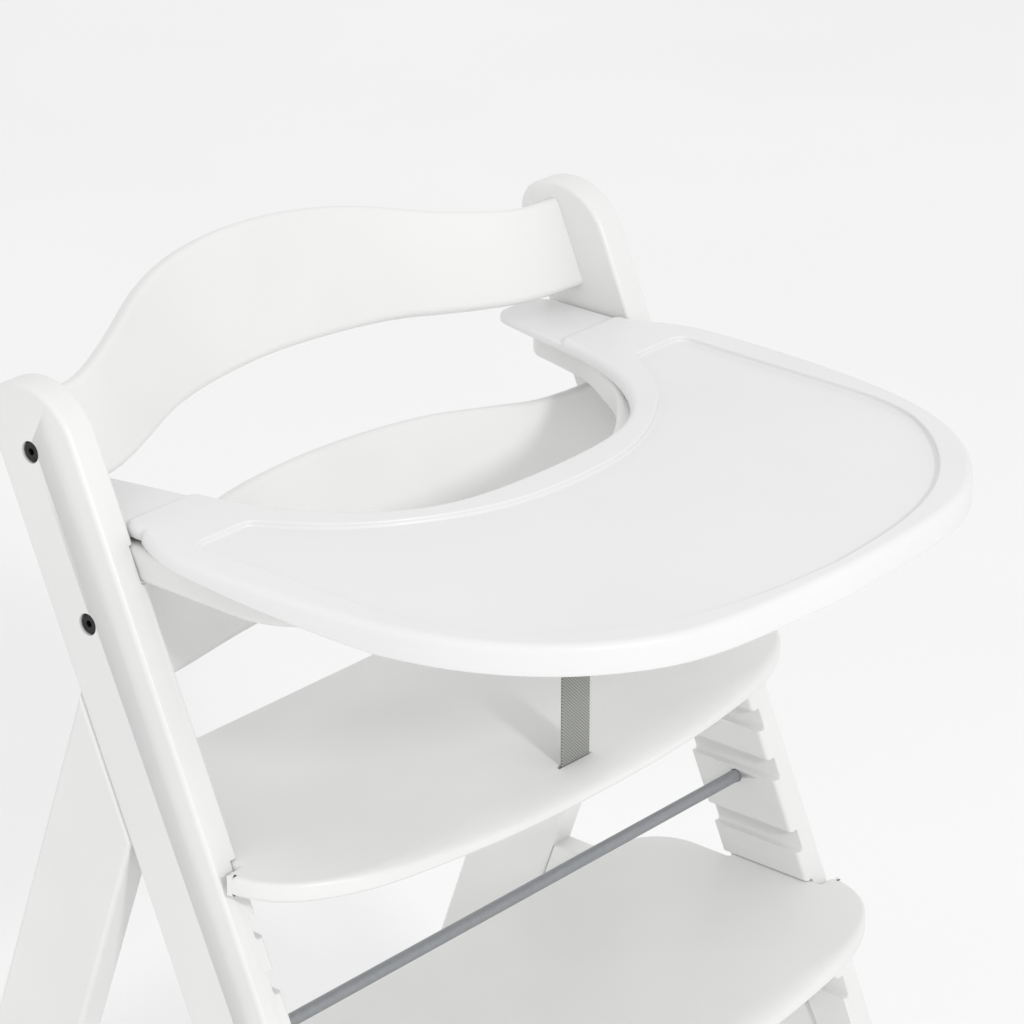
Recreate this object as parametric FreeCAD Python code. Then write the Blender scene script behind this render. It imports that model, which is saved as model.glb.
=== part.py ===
import FreeCAD, Part
import math
import os

V = FreeCAD.Vector

# Overall sizes, in mm. +Z is up, the sitter faces -Y, the origin is on the floor under the middle.
HEIGHT = 798.0            # floor to the top of the upper backrest
WIDTH = 470.0             # outside to outside of the two uprights
DEPTH = 571.0             # front edge of the tray to the heel of the rear legs
FOOT_SPAN = 549.5         # toe of the uprights to the heel of the rear legs
LEAN = math.radians(23.6)        # uprights, back from vertical
REAR_LEAN = math.radians(19.5)   # rear legs, back from vertical

# Timber
STOCK_T = 20.0            # thickness of uprights, rear legs and side struts
STOCK_W = 62.0            # width of the same stock
EDGE_R = 3.0              # rounding along its edges
TOP_R_FRONT = 41.0        # rounding of the upright's top, front corner
TOP_R_BACK = 20.0         # rounding of the upright's top, back corner
UPRIGHT_DROP = 14.5       # top of the backrest down to the top of the uprights

# Seat and foot boards and the grooves they slide in
BOARD_T = 12.0
GROOVE_FIT = 0.6          # groove height over the board
GROOVE_DEPTH = 6.0
SIDE_FIT = 0.5            # board edge to groove bottom
PITCH = 30.0              # groove to groove
ROD_GAP = 44.0            # groove to groove across a rod
UPPER_GROOVES = 4
LOWER_GROOVES = 4
SEAT_DROP = 266.5         # top of the backrest down to the seat's top face
FOOT_GROOVE = 1           # which of the lower grooves holds the foot board
BOARD_REACH = 86.0        # board in front of the upright's front face
WING_HALF_OVER = 19.0     # wings of the board past the upright's inner face
WING_GAP = 1.0            # wing to the upright's front face
BOARD_TAIL = 58.0         # board behind the upright's back face
BOARD_CORNER = 38.0       # rear corner radius
SLOT_FIT_T = 2.4          # strap slot over the webbing's thickness
EAR_INSET = 2.0           # tail of a board inside the uprights

# Backrests: bent boards between the uprights, running parallel to them
BACK_T = 12.0
BACK_BOW = 52.0           # how far the middle sits behind the ends
BACK_END = 34.0           # middle of the board's end behind the upright's front face
LOWER_END_H = 58.5        # height of the lower backrest at its ends
LOWER_CROWN = 21.0        # rise of its top edge over its ends
LOWER_BACK_GAP = 11.0     # bumper bar down to the lower backrest's ends
LOWER_BOLT_RISE = 15.7    # lower backrest's bolts above the middle of its ends
BOLT_BACK = 36.0          # backrest bolts behind the upright's front face
CROWN = 49.0              # rise of the upper backrest's top edge over its ends
HOLLOW = 26.0             # the same for its bottom edge
UPPER_END_H = 57.0        # height of the upper backrest at its ends

# Bumper bar and tray
TRAY_DROP = 88.0          # top of the backrest down to the tray's rim
TRAY_INSET = 4.5          # tray's widest point inside the outside of the upright
TRAY_PLATE = 8.0          # tray plate, rim top to underside
TRAY_SKIRT = 18.0         # tray edge, rim top to bottom
TRAY_WALL = 5.0
SKIRT_FADE = 160.0        # length of the tray's sides over which the skirt runs out
SKIRT_END = 30.0          # where it has run out, ahead of the upright's front face
ARM_DROP = 3.0            # tray arms below the rim
ARM_STEP = 8.3            # where they drop, behind the upright's front face
TRAY_OPENING = 118.2      # front of the tray's U opening, ahead of the upright's front face
WING_CLEAR = 11.7         # back of the tray's wings, ahead of the same face
ARM_REACH = 71.5          # end of the tray's arms, behind the same face
RECESS = 3.5
ARM_GAP = 1.5             # tray arm to the upright's inner face
PAD_R = 6.0               # pads under the tray
PAD_X = 144.0
PAD_SETBACK = 45.0        # pads behind the bar's front edge
PAD_GAP = 0.1
BAR_T = 20.0
BAR_GAP = 2.5             # bar top to the tray plate
BAR_AHEAD = 138.4         # bar's front edge, ahead of the upright's front face at the tray
BAR_RAIL = 26.6           # width of the bar at its middle
BAR_REACH = 56.2          # end of the bar's arms, behind the same face
BAR_CORNER = 55.0
POCKET = 3.5              # how deep the bar's ends are let into the uprights
POCKET_END = 1.0
CLIP_GAP = 0.6
CLIP_T = 4.0
CLIP_W = 24.0
CLIP_X = 79.2             # middle of each clip from the middle of the tray
CLIP_HOOK = 6.0           # hook under the bar, behind its front edge

# Strap
WEBBING_W = 25.0
WEBBING_T = 1.6
WEBBING_FIT = 0.35
STOP_R = 2.5
STOP_LENGTH = 36.0
STOP_BELOW = 3.0          # stop under the seat board

# Fasteners
BOLT_R = 3.0
HEAD_R = 5.8
HEAD_H = 5.0
HEAD_CHAMFER = 0.5
COUNTERBORE_R = 6.5
COUNTERBORE = 6.0
BOLT_FIT = 0.1
BOLT_GRIP = 12.0          # bolt past the upright's inner face
HEX = 4.0                 # socket, across flats
SOCKET_FLOOR = 2.0
ROD_R = 4.0
ROD_FIT = 0.4
ROD_CHAMFER = 0.6
ROD_BELOW = 18.5          # rod axis below the roof of the groove above it
ROD_SINK = 9.5            # rod end into the upright
ROD_SCREW_R = 2.5
ROD_SCREW_GRIP = 16.0

# Side strut and rear crossbar
STRUT_TOP = 322.0
STRUT_H = 45.0
CROSSBAR_Z = 168.0
CROSSBAR_H = 60.0
CROSSBAR_T = 18.0
CROSSBAR_BOLT_INSET = 15.0

CUT = 1.0                 # how far a cutting tool stands past the face it cuts

HALF_OUT = WIDTH / 2
HALF_IN = HALF_OUT - STOCK_T
HEEL_Y = DEPTH / 2
TOE_Y = HEEL_Y - FOOT_SPAN
TRAY_TOP = HEIGHT - TRAY_DROP
TRAY_FRONT = -DEPTH / 2
TRAY_HALF = HALF_OUT - TRAY_INSET
BAR_TOP = TRAY_TOP - TRAY_PLATE - BAR_GAP
BAR_BOTTOM = BAR_TOP - BAR_T
SEAT_TOP = HEIGHT - SEAT_DROP
GROOVE_H = BOARD_T + GROOVE_FIT


def front_y(z):
    """Front face of the uprights at height z."""
    return TOE_Y + z * math.tan(LEAN)


def back_y(z):
    """Back face of the uprights at height z."""
    return front_y(z) + STOCK_W / math.cos(LEAN)


def leaned(u, d):
    """A point u along the upright from the toe and d behind its front face, as (y, z)."""
    y = TOE_Y + u * math.sin(LEAN) + d * math.cos(LEAN)
    z = u * math.cos(LEAN) - d * math.sin(LEAN)
    return y, z


# The bent board's middle line, as fractions of half the inside width and of the bow
BEND = [(0.0, 1.0), (0.19, 0.97), (0.37, 0.83), (0.56, 0.58), (0.74, 0.29), (0.88, 0.10), (1.0, 0.0)]
BACK_U = (HEIGHT + (BACK_END + BACK_BOW - BACK_T / 2) * math.sin(LEAN)) / math.cos(LEAN)
UPPER_U = BACK_U - CROWN - UPPER_END_H / 2
LOWER_TOP = BAR_BOTTOM - LOWER_BACK_GAP
LOWER_U = (LOWER_TOP + (BACK_END - BACK_T / 2) * math.sin(LEAN)) / math.cos(LEAN) - LOWER_END_H / 2
TOP_R_RISE = TOP_R_FRONT * (1 - math.sin(LEAN))
UPRIGHT_U = (HEIGHT - UPRIGHT_DROP - TOP_R_RISE) / math.cos(LEAN) + TOP_R_FRONT
LOWER_TOP_GROOVE = SEAT_TOP - (UPPER_GROOVES - 1) * PITCH - ROD_GAP
GROOVES = [SEAT_TOP + GROOVE_FIT - i * PITCH for i in range(UPPER_GROOVES)]
GROOVES += [LOWER_TOP_GROOVE + GROOVE_FIT - i * PITCH for i in range(LOWER_GROOVES)]
FOOT_TOP = LOWER_TOP_GROOVE - FOOT_GROOVE * PITCH
ROD_LEVELS = [GROOVES[UPPER_GROOVES - 1] - ROD_BELOW, GROOVES[-1] - ROD_BELOW]
FACE_Y = TOE_Y + TRAY_TOP * math.tan(LEAN)       # front face of the uprights at the tray's rim
BAR_FRONT = FACE_Y - BAR_AHEAD
BAR_INNER = BAR_FRONT + BAR_RAIL
BAR_END = FACE_Y + BAR_REACH
STRAP_Y = BAR_FRONT - WEBBING_FIT - WEBBING_T / 2
STOP_Z = SEAT_TOP - BOARD_T - STOP_R - STOP_BELOW


def loft_points(table, half, start, length):
    """Fractions to (x, y): x from the middle out, y back from start."""
    return [V(fx * half, start + fy * length, 0) for fx, fy in table]


def spline(points):
    curve = Part.BSplineCurve()
    curve.interpolate(points)
    return curve.toShape()


def mirrored(edges):
    return [e.mirror(V(0, 0, 0), V(1, 0, 0)) for e in edges]


def symmetric_face(edges):
    """Closed face from the edges of its right half, both ends on the middle line."""
    wire = Part.Wire(Part.__sortEdges__(edges + mirrored(edges)))
    return Part.Face(wire)


def slab(edges, z0, z1):
    face = symmetric_face(edges)
    face.translate(V(0, 0, z0))
    return face.extrude(V(0, 0, z1 - z0))


def polyline(points):
    return [Part.makeLine(a, b) for a, b in zip(points, points[1:])]


def side_plate(points, x0, x1):
    """Plate with the (y, z) outline given, from x0 to x1."""
    wire = Part.makePolygon([V(x0, y, z) for y, z in points + points[:1]])
    return Part.Face(wire).extrude(V(x1 - x0, 0, 0))


def round_corner(solid, y, z, radius):
    picked = []
    for edge in solid.Edges:
        box = edge.BoundBox
        across = box.YLength < 1e-6 and box.ZLength < 1e-6
        if across and abs(box.YMin - y) < 1e-3 and abs(box.ZMin - z) < 1e-3:
            picked.append(edge)
    return solid.makeFillet(radius, picked)


def soften(solid, radius):
    """Round the edges of the two flat sides."""
    edges = [e for e in solid.Edges if e.BoundBox.XLength < 1e-6]
    return solid.makeFillet(radius, edges)


def x_cylinder(radius, x0, x1, y, z):
    return Part.makeCylinder(radius, x1 - x0, V(x0, y, z), V(1, 0, 0))


def both_sides(shape):
    return Part.makeCompound([shape, shape.mirror(V(0, 0, 0), V(1, 0, 0))])


def rod_centre(level):
    return front_y(level) + STOCK_W / 2 / math.cos(LEAN), level


def upper_bolt_centre():
    return leaned(UPPER_U, BOLT_BACK)


def lower_bolt_centre():
    return leaned(LOWER_U + LOWER_BOLT_RISE, BOLT_BACK)


def meet(p, p_angle, q, q_angle):
    """Where two lines in (y, z) cross; angles are from vertical, towards +Y."""
    py, pz = math.sin(p_angle), math.cos(p_angle)
    qy, qz = math.sin(q_angle), math.cos(q_angle)
    t = ((q[0] - p[0]) * qz - (q[1] - p[1]) * qy) / (py * qz - pz * qy)
    return p[0] + t * py, p[1] + t * pz


def cut_bolt_hole(body, radius, y, z):
    """Clearance hole through a side piece, with a counterbore from the outside."""
    body = body.cut(x_cylinder(radius + BOLT_FIT, HALF_IN - CUT, HALF_OUT, y, z))
    return body.cut(x_cylinder(COUNTERBORE_R, HALF_OUT - COUNTERBORE, HALF_OUT + CUT, y, z))


def make_upright():
    """Right upright."""
    reach = STOCK_W * math.tan(LEAN)
    top_front = leaned(UPRIGHT_U, 0)
    top_back = leaned(UPRIGHT_U, STOCK_W)
    outline = [(TOE_Y, 0.0), leaned(reach, STOCK_W), top_back, top_front]
    body = side_plate(outline, HALF_IN, HALF_OUT)
    body = round_corner(body, *top_front, TOP_R_FRONT)
    body = round_corner(body, *top_back, TOP_R_BACK)
    body = soften(body, EDGE_R)
    for roof in GROOVES:
        slot = Part.makeBox(GROOVE_DEPTH, 2 * DEPTH, GROOVE_H, V(HALF_IN, -DEPTH, roof - GROOVE_H))
        body = body.cut(slot)
    corner = V(HALF_IN, BAR_END + POCKET_END - 2 * DEPTH, BAR_BOTTOM - SIDE_FIT)
    body = body.cut(Part.makeBox(POCKET, 2 * DEPTH, BAR_T + 2 * SIDE_FIT, corner))
    for level in ROD_LEVELS:
        y, z = rod_centre(level)
        body = body.cut(x_cylinder(ROD_R + ROD_FIT, HALF_IN - CUT, HALF_IN + ROD_SINK + SIDE_FIT, y, z))
        body = cut_bolt_hole(body, ROD_SCREW_R, y, z)
    body = cut_bolt_hole(body, BOLT_R, *upper_bolt_centre())
    return cut_bolt_hole(body, BOLT_R, *lower_bolt_centre())


def rear_leg_lines():
    """Points on the rear leg's back and front edges, on the floor."""
    return (HEEL_Y, 0.0), (HEEL_Y - STOCK_W / math.cos(REAR_LEAN), 0.0)


def make_rear_leg():
    """Right rear leg, cut flush against the back face of the upright."""
    heel, toe = rear_leg_lines()
    face = (back_y(0), 0.0)
    tip = meet(heel, -REAR_LEAN, face, LEAN)
    crotch = meet(toe, -REAR_LEAN, face, LEAN)
    body = side_plate([toe, heel, tip, crotch], HALF_IN, HALF_OUT)
    body = soften(body, EDGE_R)
    for y, z in crossbar_bolt_centres():
        body = cut_bolt_hole(body, BOLT_R, y, z)
    return body


def make_side_strut():
    """Right strut, level, from the upright's back face to the rear leg's front edge."""
    toe = rear_leg_lines()[1]
    low = STRUT_TOP - STRUT_H
    rise = math.tan(REAR_LEAN)
    outline = [(back_y(low), low), (toe[0] - low * rise, low)]
    outline += [(toe[0] - STRUT_TOP * rise, STRUT_TOP), (back_y(STRUT_TOP), STRUT_TOP)]
    return soften(side_plate(outline, HALF_IN, HALF_OUT), EDGE_R)


def crossbar_centre():
    heel, toe = rear_leg_lines()
    middle = (heel[0] + toe[0]) / 2
    return middle - CROSSBAR_Z * math.tan(REAR_LEAN), CROSSBAR_Z


def crossbar_bolt_centres():
    y, z = crossbar_centre()
    off = CROSSBAR_H / 2 - CROSSBAR_BOLT_INSET
    return [(y - s * off * math.sin(REAR_LEAN), z + s * off * math.cos(REAR_LEAN)) for s in (-1, 1)]


def make_crossbar():
    """Board between the rear legs, following their lean."""
    y, z = crossbar_centre()
    across, along = CROSSBAR_T / 2, CROSSBAR_H / 2
    bar = Part.makeBox(2 * HALF_IN, CROSSBAR_T, CROSSBAR_H, V(-HALF_IN, -across, -along))
    bar = bar.makeFillet(EDGE_R, [e for e in bar.Edges if e.BoundBox.XLength > HALF_IN])
    bar.rotate(V(0, 0, 0), V(1, 0, 0), math.degrees(REAR_LEAN))
    bar.translate(V(0, y, z))
    for cy, cz in crossbar_bolt_centres():
        hole = x_cylinder(BOLT_R + BOLT_FIT, HALF_IN - BOLT_GRIP - CUT, HALF_IN + CUT, cy, cz)
        bar = bar.cut(both_sides(hole))
    return bar


def bent_board(front_outline, bolt_centre):
    """Board bent across the chair; front_outline is its shape seen square on, as (x, u)."""
    half = HALF_IN
    middle = [V(f * half, BACK_END + b * BACK_BOW, 0) for f, b in BEND]
    middle = [V(-p.x, p.y, 0) for p in reversed(middle[1:])] + middle
    front = [V(p.x, p.y - BACK_T / 2, 0) for p in middle]
    back = [V(p.x, p.y + BACK_T / 2, 0) for p in middle]
    ends = [Part.makeLine(front[-1], back[-1]), Part.makeLine(back[0], front[0])]
    edges = [spline(front), spline(back)] + ends
    low = min(p.BoundBox.YMin for p in front_outline) - CUT
    high = max(p.BoundBox.YMax for p in front_outline) + CUT
    sheet = Part.Face(Part.Wire(Part.__sortEdges__(edges)))
    sheet.translate(V(0, 0, low))
    sheet = sheet.extrude(V(0, 0, high - low))
    shape = Part.Face(Part.Wire(Part.__sortEdges__(front_outline)))
    shape.rotate(V(0, 0, 0), V(1, 0, 0), 90)
    shape = shape.extrude(V(0, 2 * STOCK_W + BACK_BOW, 0))
    board = sheet.common(shape)
    board.rotate(V(0, 0, 0), V(1, 0, 0), -math.degrees(LEAN))
    board.translate(V(0, TOE_Y, 0))
    hole = x_cylinder(BOLT_R + BOLT_FIT, HALF_IN - BOLT_GRIP - CUT, HALF_IN + CUT, *bolt_centre)
    return board.cut(both_sides(hole)).Solids[0]


def crowned_edge(table, half, level, rise):
    """Edge across a backrest: level at its ends and rising by the table's fractions."""
    right = [V(f * half, level + h * rise, 0) for f, h in table]
    return [V(-p.x, p.y, 0) for p in reversed(right[1:])] + right


def backrest_outline(top, low):
    sides = [Part.makeLine(top[0], low[0]), Part.makeLine(top[-1], low[-1])]
    return [spline(top), spline(low)] + sides


def make_upper_backrest():
    """Upper board, with a crowned top edge and a hollow bottom edge."""
    half = HALF_IN - BOLT_FIT
    crown = [(0.0, 1.0), (0.18, 0.95), (0.33, 0.83), (0.48, 0.62), (0.62, 0.36), (0.78, 0.12), (0.9, 0.01),
             (1.0, 0.0)]
    hollow = [(0.0, 1.0), (0.22, 0.92), (0.41, 0.76), (0.56, 0.5), (0.72, 0.2), (0.86, 0.04), (1.0, 0.0)]
    top = crowned_edge(crown, half, UPPER_U + UPPER_END_H / 2, CROWN)
    low = crowned_edge(hollow, half, UPPER_U - UPPER_END_H / 2, HOLLOW)
    return bent_board(backrest_outline(top, low), upper_bolt_centre())


def make_lower_backrest():
    """Lower board, with a crowned top edge and a straight bottom edge."""
    half = HALF_IN - BOLT_FIT
    crown = [(0.0, 1.0), (0.23, 0.93), (0.39, 0.8), (0.55, 0.51), (0.67, 0.24), (0.82, 0.01), (1.0, 0.0)]
    top = crowned_edge(crown, half, LOWER_U + LOWER_END_H / 2, LOWER_CROWN)
    low_level = LOWER_U - LOWER_END_H / 2
    low = polyline([V(-half, low_level, 0), V(half, low_level, 0)])
    sides = [Part.makeLine(top[0], V(-half, low_level, 0)), Part.makeLine(top[-1], V(half, low_level, 0))]
    return bent_board([spline(top)] + low + sides, lower_bolt_centre())


def board_edges(top):
    """Right half of a seat or foot board's outline; its tail is narrower than the gap between the legs."""
    face = front_y(top - BOARD_T)
    start = front_y(top) - BOARD_REACH
    wing_back = face - WING_GAP
    wing = HALF_IN + WING_HALF_OVER
    ear = HALF_IN + GROOVE_DEPTH - SIDE_FIT
    tail = back_y(top) + BOARD_TAIL
    reach = wing_back - start
    table = [(0.0, 0.0), (0.2, 0.013), (0.39, 0.056), (0.59, 0.138), (0.74, 0.232), (0.85, 0.37),
             (0.93, 0.54), (0.98, 0.76), (1.0, 1.0)]
    edges = [spline(loft_points(table, wing, start, reach))]
    inner = HALF_IN - EAR_INSET
    ear_end = back_y(top - BOARD_T) - EAR_INSET
    path = [V(wing, wing_back, 0), V(ear, wing_back, 0), V(ear, ear_end, 0), V(inner, ear_end, 0)]
    path.append(V(inner, tail - BOARD_CORNER, 0))
    edges += polyline(path)
    bend = 1 - math.sqrt(0.5)
    mid = V(inner - bend * BOARD_CORNER, tail - bend * BOARD_CORNER, 0)
    corner_end = V(inner - BOARD_CORNER, tail, 0)
    edges.append(Part.Arc(path[-1], mid, corner_end).toShape())
    edges.append(Part.makeLine(corner_end, V(0, tail, 0)))
    return edges


def make_seat_board():
    """Seat board, with a slot for the strap."""
    board = slab(board_edges(SEAT_TOP), SEAT_TOP - BOARD_T, SEAT_TOP)
    flat = WEBBING_W / 2
    radius = (WEBBING_T + SLOT_FIT_T) / 2
    bottom = SEAT_TOP - BOARD_T - CUT
    tall = BOARD_T + 2 * CUT
    slot = Part.makeBox(2 * flat, 2 * radius, tall, V(-flat, STRAP_Y - radius, bottom))
    end = Part.makeCylinder(radius, tall, V(flat, STRAP_Y, bottom))
    return board.cut(slot).cut(both_sides(end))


def make_foot_board():
    return slab(board_edges(FOOT_TOP), FOOT_TOP - BOARD_T, FOOT_TOP)


def make_bumper_bar():
    """Flat bar with a U-shaped opening, its ends let into the uprights."""
    half = HALF_IN + POCKET - SIDE_FIT
    table = [(0.0, 0.0), (0.186, 0.014), (0.349, 0.069), (0.465, 0.158), (0.567, 0.26), (0.633, 0.341),
             (0.721, 0.503), (0.795, 0.675), (0.823, 0.801), (0.843, 0.909), (0.851, 1.0)]
    inner = loft_points(table, HALF_IN, BAR_INNER, BAR_END - BAR_INNER)
    bend = 1 - math.sqrt(0.5)
    corner = [V(half - BAR_CORNER, BAR_FRONT, 0)]
    corner.append(V(half - bend * BAR_CORNER, BAR_FRONT + bend * BAR_CORNER, 0))
    corner.append(V(half, BAR_FRONT + BAR_CORNER, 0))
    edges = [Part.makeLine(V(0, BAR_FRONT, 0), corner[0]), Part.Arc(*corner).toShape()]
    edges += polyline([corner[-1], V(half, BAR_END, 0), inner[-1]])
    edges.append(spline(inner))
    return slab(edges, BAR_BOTTOM, BAR_TOP)


def tray_half_edges(with_arms):
    """Right half of the tray's outline, with or without the arms beside the uprights."""
    wing_back = FACE_Y - WING_CLEAR
    table = [(0.0, 0.0), (0.26, 0.009), (0.425, 0.022), (0.564, 0.05), (0.664, 0.091), (0.772, 0.157),
             (0.859, 0.239), (0.924, 0.336), (0.972, 0.477), (0.989, 0.58), (1.0, 0.725), (1.0, 0.83),
             (0.985, 0.927), (0.94, 1.0)]
    edge = loft_points(table, TRAY_HALF, TRAY_FRONT, wing_back - TRAY_FRONT)
    edges = [spline(edge)]
    if not with_arms:
        return edges + [Part.makeLine(edge[-1], V(0, wing_back, 0))]
    arm = HALF_IN - ARM_GAP
    arm_end = FACE_Y + ARM_REACH
    opening = [(0.0, 0.0), (0.232, 0.016), (0.405, 0.074), (0.541, 0.195), (0.646, 0.368), (0.714, 0.58),
               (0.758, 0.817), (0.781, 0.932), (0.795, 1.0)]
    inner = loft_points(opening, HALF_IN, FACE_Y - TRAY_OPENING, TRAY_OPENING + ARM_REACH)
    path = [edge[-1], V(arm, wing_back + edge[-1].x - arm, 0), V(arm, arm_end, 0), inner[-1]]
    return edges + polyline(path) + [spline(inner)]


def tray_recess_edges():
    """Right half of the sunk area inside the tray's rim."""
    reach = FACE_Y - TRAY_FRONT
    outer = [(0.0, 0.03), (0.254, 0.045), (0.527, 0.099), (0.733, 0.2), (0.869, 0.335), (0.905, 0.528),
             (0.909, 0.743), (0.915, 0.866)]
    inner = [(0.725, 0.866), (0.594, 0.741), (0.4165, 0.648), (0.254, 0.598), (0.13, 0.581), (0.0, 0.576)]
    far = loft_points(outer, TRAY_HALF, TRAY_FRONT, reach)
    near = loft_points(inner, TRAY_HALF, TRAY_FRONT, reach)
    return [spline(far), Part.makeLine(far[-1], near[0]), spline(near)]


def make_tray():
    """Tray shell: rimmed plate, skirt round the front, and pads that sit on the bumper bar."""
    underside = TRAY_TOP - TRAY_PLATE
    bottom = TRAY_TOP - TRAY_SKIRT
    plate = slab(tray_half_edges(True), underside, TRAY_TOP)
    skirt = slab(tray_half_edges(False), bottom, underside)
    hollow = slab(tray_half_edges(False), bottom - CUT, underside)
    shrink = FreeCAD.Matrix()
    shrink.A11 = 1 - TRAY_WALL / TRAY_HALF
    hollow = hollow.transformGeometry(shrink)
    hollow.translate(V(0, TRAY_WALL, 0))
    skirt = skirt.cut(hollow)
    fade = FACE_Y - SKIRT_END
    wedge = [(fade - SKIRT_FADE, bottom), (fade - SKIRT_FADE, bottom - CUT), (FACE_Y, bottom - CUT)]
    wedge += [(FACE_Y, underside), (fade, underside)]
    skirt = skirt.cut(side_plate(wedge, -WIDTH, WIDTH))
    tray = plate.fuse(skirt.Solids)
    arms = Part.makeBox(2 * WIDTH, DEPTH, 2 * ARM_DROP, V(-WIDTH, FACE_Y + ARM_STEP, TRAY_TOP - ARM_DROP))
    tray = tray.cut(arms)
    tray = tray.cut(slab(tray_recess_edges(), TRAY_TOP - RECESS, TRAY_TOP + CUT))
    pad_foot = V(PAD_X, BAR_FRONT + PAD_SETBACK, BAR_TOP + PAD_GAP)
    pad = Part.makeCylinder(PAD_R, BAR_GAP + CUT, pad_foot)
    tray = tray.fuse(both_sides(pad).Solids)
    return tray.removeSplitter().Solids[0]


def make_tray_clips():
    """Two hooks under the tray that reach round the bar's front edge."""
    top = TRAY_TOP - TRAY_PLATE
    y_out, y_in, y_hook = BAR_FRONT - CLIP_GAP - CLIP_T, BAR_FRONT - CLIP_GAP, BAR_FRONT + CLIP_HOOK
    z_out, z_in = BAR_BOTTOM - CLIP_GAP - CLIP_T, BAR_BOTTOM - CLIP_GAP
    outline = [(y_out, top), (y_out, z_out), (y_hook, z_out), (y_hook, z_in), (y_in, z_in), (y_in, top)]
    return both_sides(side_plate(outline, CLIP_X - CLIP_W / 2, CLIP_X + CLIP_W / 2))


def ring(y0, y1, z0, z1, t):
    """Webbing of thickness t wrapped round the space from y0 to y1 and z0 to z1."""
    outer = side_plate([(y0 - t, z0 - t), (y1 + t, z0 - t), (y1 + t, z1 + t), (y0 - t, z1 + t)],
                       -WEBBING_W / 2, WEBBING_W / 2)
    inner = side_plate([(y0, z0), (y1, z0), (y1, z1), (y0, z1)], -WEBBING_W, WEBBING_W)
    corners = [e for e in outer.Edges if e.BoundBox.XLength > WEBBING_W / 2]
    outer = outer.makeFillet(t, corners)
    return outer.cut(inner)


def make_crotch_strap():
    """Webbing looped round the bar, down through the seat's slot and round the stop."""
    gap = WEBBING_FIT
    loop = ring(BAR_FRONT - gap, BAR_INNER + gap, BAR_BOTTOM - gap, BAR_TOP + gap, WEBBING_T)
    corner = V(-WEBBING_W / 2, STRAP_Y - WEBBING_T / 2, STOP_Z)
    tail = Part.makeBox(WEBBING_W, WEBBING_T, BAR_BOTTOM - STOP_Z, corner)
    eye = x_cylinder(STOP_R + gap + WEBBING_T, -WEBBING_W / 2, WEBBING_W / 2, STRAP_Y, STOP_Z)
    bore = x_cylinder(STOP_R + gap, -WEBBING_W, WEBBING_W, STRAP_Y, STOP_Z)
    return loop.fuse([tail, eye]).cut(bore).removeSplitter().Solids[0]


def make_strap_stop():
    return x_cylinder(STOP_R, -STOP_LENGTH / 2, STOP_LENGTH / 2, STRAP_Y, STOP_Z)


def make_rod(level):
    y, z = rod_centre(level)
    end = HALF_IN + ROD_SINK
    rod = x_cylinder(ROD_R, -end, end, y, z)
    rod = rod.makeChamfer(ROD_CHAMFER, rod.Edges)
    bore = x_cylinder(ROD_SCREW_R + BOLT_FIT, end - ROD_SCREW_GRIP - 2 * CUT, end + CUT, y, z)
    return rod.cut(both_sides(bore))


def bolt(radius, tip_x, y, z):
    """Socket bolt from the outside of the right upright inwards to tip_x."""
    seat = HALF_OUT - COUNTERBORE
    head = x_cylinder(HEAD_R, seat, seat + HEAD_H, y, z)
    head = head.makeChamfer(HEAD_CHAMFER, [e for e in head.Edges if e.BoundBox.XMin > seat + HEAD_H / 2])
    shank = x_cylinder(radius, tip_x, seat, y, z)
    corner = HEX / math.sqrt(3)
    angles = [math.radians(60 * i) for i in range(7)]
    points = [V(seat + SOCKET_FLOOR, y + corner * math.cos(a), z + corner * math.sin(a)) for a in angles]
    socket = Part.Face(Part.makePolygon(points)).extrude(V(HEAD_H, 0, 0))
    return head.fuse(shank).cut(socket).removeSplitter()


def make_backrest_bolts(centre):
    return both_sides(bolt(BOLT_R, HALF_IN - BOLT_GRIP, *centre))


def make_rod_screws(level):
    y, z = rod_centre(level)
    return both_sides(bolt(ROD_SCREW_R, HALF_IN + ROD_SINK - ROD_SCREW_GRIP, y, z))


def make_crossbar_bolts():
    bolts = [bolt(BOLT_R, HALF_IN - BOLT_GRIP, y, z) for y, z in crossbar_bolt_centres()]
    return both_sides(Part.makeCompound(bolts))


def main():
    os.makedirs("parts", exist_ok=True)
    parts = {}
    for name, shape in (("upright", make_upright()), ("rear_leg", make_rear_leg()),
                        ("side_strut", make_side_strut())):
        parts[name + "_right"] = shape
        parts[name + "_left"] = shape.mirror(V(0, 0, 0), V(1, 0, 0))
    parts["upper_backrest"] = make_upper_backrest()
    parts["lower_backrest"] = make_lower_backrest()
    parts["seat_board"] = make_seat_board()
    parts["foot_board"] = make_foot_board()
    parts["rear_crossbar"] = make_crossbar()
    parts["bumper_bar"] = make_bumper_bar()
    parts["tray"] = make_tray()
    parts["tray_clips"] = make_tray_clips()
    parts["crotch_strap"] = make_crotch_strap()
    parts["strap_stop"] = make_strap_stop()
    parts["seat_rod"] = make_rod(ROD_LEVELS[0])
    parts["foot_rod"] = make_rod(ROD_LEVELS[1])
    parts["upper_backrest_bolts"] = make_backrest_bolts(upper_bolt_centre())
    parts["lower_backrest_bolts"] = make_backrest_bolts(lower_bolt_centre())
    parts["seat_rod_screws"] = make_rod_screws(ROD_LEVELS[0])
    parts["foot_rod_screws"] = make_rod_screws(ROD_LEVELS[1])
    parts["crossbar_bolts"] = make_crossbar_bolts()
    for name, shape in parts.items():
        shape.exportStep("parts/" + name + ".step")


main()
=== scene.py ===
import math

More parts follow.
